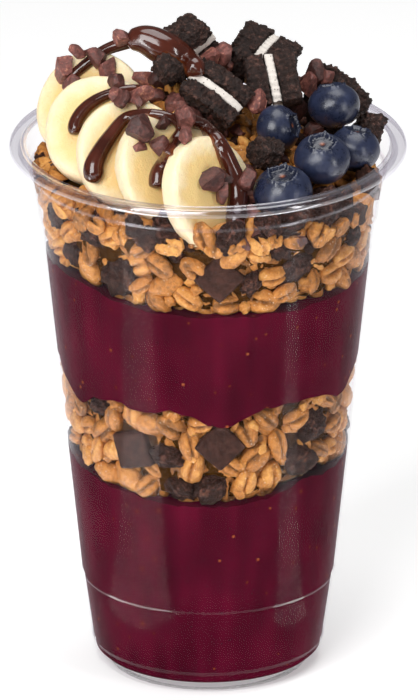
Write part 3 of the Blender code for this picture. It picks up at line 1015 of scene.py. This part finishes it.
def against_wall(degrees, z, turn, points, depth=0.0):
    """The matrix that sets a turned piece behind the wall, just touching it."""
    spot = on_wall(degrees, z)
    placed = points @ np.array(turn)[:3, :3].T + np.array(spot)
    over = (np.hypot(placed[:, 0], placed[:, 1]) - inner_radius(placed[:, 2])).max()
    inwards = -outwards(math.radians(degrees)) * (over + depth)
    return Matrix.Translation(spot + inwards) @ turn


def make_lumps(colours):
    """Dark cookie lumps at the wall, and small ones on the heap."""
    dice = random.Random(23)
    material = wafer_finish("cookie_crumb", tuple(colours.crumb), 0.12, 0.9)
    kinds = crumb_kinds(dice, rough=0.34, detail=4)
    shapes = [points_of(k) for k in kinds]
    places = []
    for degrees, z, size in WALL_LUMPS:
        which = dice.randrange(CRUMB_KINDS)
        turn = turned_to(on_wall(degrees, 0), dice.uniform(0, 6.28))
        turn = turn @ Matrix.Diagonal((1.1, 1, 0.8, 1)) @ Matrix.Scale(size * MM, 4)
        there = against_wall(degrees, z * MM, turn, shapes[which], -0.25 * MM)
        places.append((which, there, dice.random()))
    finished(joined("cookie_crumbs", kinds, places, clip=True), material)
    small = crumb_kinds(dice, rough=0.34)
    places = []
    for which, turn, tone in heap_places(dice, 9 * MM, CRUMB_KINDS, 2.5 * MM):
        places.append((which, turn @ Matrix.Scale(dice.uniform(4, 7) * MM, 4), tone))
    finished(joined("cookie_crumbs_on_heap", small, places, clip=True), material)


def make_squares(sizes, colours):
    """Chocolate squares flat against the wall."""
    side = sizes.square
    deselect()
    bpy.ops.mesh.primitive_cube_add(size=1)
    proto = named("square_start")
    set_points(proto.data, points_of(proto.data) * [side, side, side * 0.38])
    modified(proto, "BEVEL", width=0.7 * MM, segments=3)
    edited(proto, bpy.ops.mesh.subdivide, number_cuts=3)
    relief(proto, 2.5 * MM, 0.4 * MM)
    places = []
    for degrees, z, turn in SQUARES:
        flat = turned_to(on_wall(degrees, 0), math.radians(turn))
        there = against_wall(degrees, z * MM, flat, points_of(proto.data))
        places.append((0, there, 0.5))
    made = joined("chocolate_squares", [proto.data], places, clip=True)
    bpy.data.objects.remove(proto)
    finished(made, square_finish(colours.square), angle=35)


def reach_in_plane(points):
    """How far the points of a flat round piece are from its axis."""
    away = points - points.mean(axis=0)
    _, _, axes = np.linalg.svd(away, full_matrices=False)
    return np.hypot(away @ axes[0], away @ axes[1])


def make_bananas(colours):
    """The slices, softened, with how far each point is from the slice's middle."""
    material = banana_finish(colours.banana)
    for i in range(1, 6):
        made = copy_of(f"banana_{i}", f"banana_slice_{i}")
        modified(made, "SUBSURF", levels=3, render_levels=3)
        relief(made, 7 * MM, 0.5 * MM)
        reach = reach_in_plane(points_of(made.data)) / SLICE_RADIUS
        add_values(made.data, "reach", np.clip(reach, 0, 1))
        finished(made, material, (f"banana_{i}",))


def berry_mesh():
    """A berry of unit radius: round, with a recessed crown ringed by ragged points."""
    deselect()
    bpy.ops.mesh.primitive_uv_sphere_add(segments=80, ring_count=56, radius=1)
    made = named("berry_start")
    points = points_of(made.data)
    polar = np.arccos(np.clip(points[:, 2], -1, 1))
    turn = np.arctan2(points[:, 1], points[:, 0])
    lobes = 0.7 * np.cos(5 * turn) + 0.3 * np.cos(11 * turn + 0.8) + 0.25 * np.cos(19 * turn)
    points[:, 2] *= 0.86
    edge = 0.44 + 0.05 * lobes
    pit = 1 / (1 + np.exp((polar - edge) / 0.02))
    lip = np.exp(-(((polar - edge - 0.06) / 0.055) ** 2))
    points[:, 2] += lip * (0.06 + 0.05 * lobes) - pit * (0.2 - 0.2 * polar)
    points[:, :2] *= (1 + lip * 0.05 * lobes)[:, None]
    set_points(made.data, points)
    crown = np.clip(pit + lip * 0.5 * np.clip(lobes + 0.3, 0, 1), 0, 1)
    heart = np.exp(-((polar / 0.07) ** 2))
    return made, crown, heart


def make_blueberries(colours):
    """The berries, each with its crown turned its own way."""
    material = berry_finish(colours.berry, colours.bloom)
    proto, crown, heart = berry_mesh()
    for i, way in enumerate(CROWNS):
        node = f"blueberry_{i + 1}"
        low, high = (Vector(c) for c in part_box(node))
        made = linked(f"berry_{i + 1}", proto.data.copy())
        made.data.name = made.name
        add_values(made.data, "crown", crown)
        add_values(made.data, "heart", heart)
        radius = max(high.x - low.x, high.y - low.y) / 2
        turn = turned_to(way, 0.7 * i) @ Matrix.Scale(radius * 0.99, 4)
        made.data.transform(Matrix.Translation((low + high) / 2) @ turn)
        relief(made, 5 * MM, 0.25 * MM)
        finished(made, material, (node,))
    bpy.data.objects.remove(proto)


def make_cookies(colours):
    """The broken cookies: crumbly wafers, and cream between them."""
    wafer, cream = wafer_finish("cookie", colours.wafer), cream_finish(colours.cream)
    for node in sorted(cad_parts):
        if not node.startswith("cookie"):
            continue
        made = copy_of(node, node.replace("cookie", "sandwich"))
        soft = node.endswith("cream")
        modified(made, "REMESH", mode="VOXEL", voxel_size=0.33 * MM)
        if soft:
            relief(made, 1.2 * MM, 0.5 * MM, middle=0.4)
        else:
            rough = 0.5 if node.startswith("cookie_3") else 1
            relief(made, 2.6 * MM, 2.0 * rough * MM, middle=0.52)
            relief(made, 0.9 * MM, 1.4 * rough * MM, middle=0.52)
        points = points_of(made.data)
        points[:, 2] = np.minimum(points[:, 2], CAD_BOX[1][2] - 0.02 * MM)
        set_points(made.data, points)
        finished(made, cream if soft else wafer, (node,))


def smooth_course(points, count):
    """A smooth open course through the guide points, as that many points."""
    padded = [points[0] * 2 - points[1], *points, points[-1] * 2 - points[-2]]
    course = []
    spans = len(points) - 1
    for k in range(count):
        t = k / (count - 1) * spans
        i = min(int(t), spans - 1)
        u = t - i
        a, b, c, d = padded[i : i + 4]
        bend, twist = a * 2 - b * 5 + c * 4 - d, b * 3 - a - c * 3 + d
        course.append(0.5 * (b * 2 + (c - a) * u + bend * u * u + twist * u ** 3))
    return course


def make_strand(name, guides, widths, surface):
    """A strand of sauce that lies over the toppings, round on top and fuller at its end."""
    count = 46
    flat = smooth_course([Vector((u, v, w)) for (u, v), w in zip(guides, widths)], count)
    spots = [seen_from_front(surface, p.x, p.y) for p in flat]
    known = [i for i, (place, _) in enumerate(spots) if place is not None]
    depth = np.interp(range(count), known, [spots[i][0].dot(VIEW_OUT) for i in known])
    crest = np.array([max(depth[max(0, i - 2) : i + 3]) for i in range(count)])
    for _ in range(4):
        crest = np.convolve(np.pad(crest, 2, mode="edge"), np.ones(5) / 5, mode="valid")
    crest = np.maximum(crest, depth - 0.6 * MM)
    course = []
    for p, near in zip(flat, crest):
        level = Vector((p.x * MM, 0, 0)) + VIEW_UP * p.y * MM
        course.append(level + VIEW_OUT * (near + 0.12 * p.z * MM))
    deselect()
    curve = bpy.data.curves.new(name, "CURVE")
    curve.dimensions = "3D"
    curve.bevel_depth = 1 * MM
    curve.bevel_resolution = 6
    curve.use_fill_caps = True
    spline = curve.splines.new("POLY")
    spline.points.add(count - 1)
    for i, (point, p) in enumerate(zip(spline.points, flat)):
        tail = math.sqrt(max(0.02, (count - 1 - i) * 0.28))
        ends = min(1, tail, math.sqrt(0.25 + i * 0.25))
        point.co = (*course[i], 1)
        point.radius = p.z * 0.58 * ends
    choose(linked(name, curve))
    bpy.ops.object.convert(target="MESH")
    return named(name)


def make_sauce(colours):
    """The strands, melted into one mesh, with how thin the sauce lies at each point."""
    surface = surface_of(*topping_names(), "granola_top")
    parts = [make_strand("sauce_" + name, *strand, surface) for name, strand in STRANDS.items()]
    choose(parts[0])
    for part in parts:
        part.select_set(True)
    bpy.ops.object.join()
    made = named("sauce")
    modified(made, "REMESH", mode="VOXEL", voxel_size=0.3 * MM)
    modified(made, "SMOOTH", factor=0.6, iterations=6)
    away = np.array([surface.find_nearest(Vector(p))[3] for p in points_of(made.data)])
    add_values(made.data, "thin", 1 - np.clip(away / (0.9 * MM), 0, 1))
    return finished(made, sauce_finish(colours.sauce))


def nib_place(dice, kinds, spot, size):
    which, turn = dice.randrange(len(kinds)), any_turn(dice)
    return which, Matrix.Translation(spot) @ turn @ Matrix.Scale(size, 4), dice.random()


def make_nibs(sizes, colours, sauce):
    """Nibs on the sauce and toppings, some in pairs, and a few on the heap."""
    dice = random.Random(41)
    surface = surface_of(*topping_names(), "granola_top")
    verts = [v.co for v in sauce.data.vertices]
    sauce_top = BVHTree.FromPolygons(verts, [tuple(p.vertices) for p in sauce.data.polygons])
    kinds = nib_kinds(dice)
    places = []
    for across, up in NIBS:
        found = [seen_from_front(tree, across, up) for tree in (surface, sauce_top)]
        found = [(place, normal) for place, normal in found if place is not None]
        if not found:
            continue
        place, normal = max(found, key=lambda item: item[0].dot(VIEW_OUT))
        size = sizes.nib * dice.uniform(0.85, 1.2)
        spot = place + normal * size * 0.22
        if dice.random() < 0.4:
            aside = Vector((dice.uniform(-1, 1), 0, 0)).normalized() * size * 0.85
            beside = spot + aside + VIEW_UP * dice.uniform(-0.4, 0.4) * size
            places.append(nib_place(dice, kinds, beside, size * 0.7))
        places.append(nib_place(dice, kinds, spot, size))
    for which, turn, tone in heap_places(dice, 11 * MM, len(kinds)):
        turn = turn @ any_turn(dice)
        places.append((which, turn @ Matrix.Scale(sizes.nib * dice.uniform(0.6, 1.0), 4), tone))
    made = joined("nibs", kinds, places, clip=True)
    finished(made, nib_finish(colours.nib), angle=28)


# ---- stage


def area_light(name, place, aim, size, power):
    lamp = bpy.data.lights.new(name, "AREA")
    lamp.shape = "RECTANGLE"
    lamp.size, lamp.size_y = size
    lamp.energy = power
    made = linked(name, lamp)
    made.location = place
    made.rotation_euler = (Vector(aim) - Vector(place)).to_track_quat("-Z", "Y").to_euler()
    return made


def make_stage(light):
    """A white floor, soft lights, two cards for the wall's streaks, and the camera."""
    deselect()
    bpy.ops.mesh.primitive_plane_add(size=12)
    floor = named("floor")
    paint = Finish("floor_paint", Roughness=0.9)
    shade = paint.blend(paint.noise(0.4, 2), (0.94, 0.94, 0.94), (0.97, 0.97, 0.97))
    paint.set(Base_Color=shade)
    paint.set(Emission_Color=(1, 1, 1), Emission_Strength=0.36)
    floor.data.materials.append(paint.material)
    world = bpy.data.worlds.new("room")
    bpy.context.scene.world = world
    world.use_nodes = True
    background = world.node_tree.nodes["Background"]
    background.inputs["Color"].default_value = (1, 1, 1, 1)
    background.inputs["Strength"].default_value = light.room
    area_light("key", (-0.35, -0.75, 0.75), (0, 0, 0.08), (0.6, 0.6), light.key)
    area_light("top", (0.1, 0.1, 0.9), (0, 0, 0.1), (0.6, 0.6), light.key * 0.5)
    area_light("strip_left", (-0.42, -0.5, 0.2), (0, 0, 0.12), (0.06, 0.5), light.strip)
    area_light("strip_right", (0.5, -0.42, 0.2), (0, 0, 0.12), (0.06, 0.5), light.strip)
    away, tall = 0.15, 0.22
    for name, degrees, width in (("card_left", -53, 0.05), ("card_right", 64, 0.024)):
        a = math.radians(degrees)
        place = (away * math.sin(a), -away * math.cos(a), 0.002)
        power = light.card * math.pi * width * tall
        card = area_light(name, place, (0, 0, 1), (width, tall), power)
        card.rotation_euler = (math.pi, 0, a)
        card.visible_camera = card.visible_diffuse = card.visible_transmission = False
    scene = bpy.context.scene
    scene.view_settings.view_transform = "Standard"
    lens = bpy.data.cameras.new("camera")
    camera = linked("camera", lens)
    camera.location = AIM + VIEW_OUT * CAMERA_DISTANCE
    camera.rotation_euler = (-VIEW_OUT).to_track_quat("-Z", "Y").to_euler()
    lens.sensor_width = SENSOR
    lens.lens = SENSOR * CAMERA_DISTANCE / PICTURE_WIDTH
    lens.clip_end = 50
    scene.camera = camera


# ---- operators


class Maker:
    """What each operator does: it makes its pieces with the scene's settings."""

    def execute(self, context):
        self.make(context.scene)
        return {"FINISHED"}


class ACAI_OT_cup(Maker, bpy.types.Operator):
    """Make the clear cup"""

    bl_idname = "acai.cup"
    bl_label = "Cup"

    def make(self, scene):
        make_cup()


class ACAI_OT_acai(Maker, bpy.types.Operator):
    """Make both layers of acai"""

    bl_idname = "acai.acai"
    bl_label = "Acai"

    def make(self, scene):
        make_acai(scene.acai_colours)


class ACAI_OT_granola(Maker, bpy.types.Operator):
    """Make the granola, with its cookie crumbs and chocolate squares"""

    bl_idname = "acai.granola"
    bl_label = "Granola"

    def make(self, scene):
        make_granola(scene.acai_sizes, scene.acai_colours)
        make_lumps(scene.acai_colours)
        make_squares(scene.acai_sizes, scene.acai_colours)


class ACAI_OT_bananas(Maker, bpy.types.Operator):
    """Make the banana slices"""

    bl_idname = "acai.bananas"
    bl_label = "Bananas"

    def make(self, scene):
        make_bananas(scene.acai_colours)


class ACAI_OT_blueberries(Maker, bpy.types.Operator):
    """Make the blueberries"""

    bl_idname = "acai.blueberries"
    bl_label = "Blueberries"

    def make(self, scene):
        make_blueberries(scene.acai_colours)


class ACAI_OT_cookies(Maker, bpy.types.Operator):
    """Make the pieces of sandwich cookie"""

    bl_idname = "acai.cookies"
    bl_label = "Cookies"

    def make(self, scene):
        make_cookies(scene.acai_colours)


class ACAI_OT_sauce(Maker, bpy.types.Operator):
    """Pour the chocolate sauce and scatter the nibs on it"""

    bl_idname = "acai.sauce"
    bl_label = "Sauce and nibs"

    def make(self, scene):
        sauce = make_sauce(scene.acai_colours)
        make_nibs(scene.acai_sizes, scene.acai_colours, sauce)


class ACAI_OT_stage(Maker, bpy.types.Operator):
    """Set the floor, lights and camera"""

    bl_idname = "acai.stage"
    bl_label = "Stage"

    def make(self, scene):
        make_stage(scene.acai_light)


STEPS = (
    ACAI_OT_cup,
    ACAI_OT_acai,
    ACAI_OT_granola,
    ACAI_OT_bananas,
    ACAI_OT_blueberries,
    ACAI_OT_cookies,
    ACAI_OT_sauce,
    ACAI_OT_stage,
)


class ACAI_PT_panel(bpy.types.Panel):
    """The cup's pieces, sizes and colours"""

    bl_idname = "ACAI_PT_panel"
    bl_label = "Acai cup"
    bl_space_type = "VIEW_3D"
    bl_region_type = "UI"
    bl_category = "Acai cup"

    def draw(self, context):
        for step in STEPS:
            self.layout.operator(step.bl_idname)
        for name, group in GROUPS.items():
            box = self.layout.box()
            for key in group.__annotations__:
                box.prop(getattr(context.scene, name), key)


GROUPS = {"acai_sizes": CupSizes, "acai_colours": FoodColours, "acai_light": StudioLight}


def register():
    for cls in (*GROUPS.values(), *STEPS, ACAI_PT_panel):
        bpy.utils.register_class(cls)
    for key, group in GROUPS.items():
        setattr(bpy.types.Scene, key, PointerProperty(type=group))


def unregister():
    for key in GROUPS:
        delattr(bpy.types.Scene, key)
    for cls in reversed((*GROUPS.values(), *STEPS, ACAI_PT_panel)):
        bpy.utils.unregister_class(cls)


def main():
    register()
    for step in STEPS:
        _, name = step.bl_idname.split(".")
        getattr(bpy.ops.acai, name)()


if __name__ == "__main__":
    main()
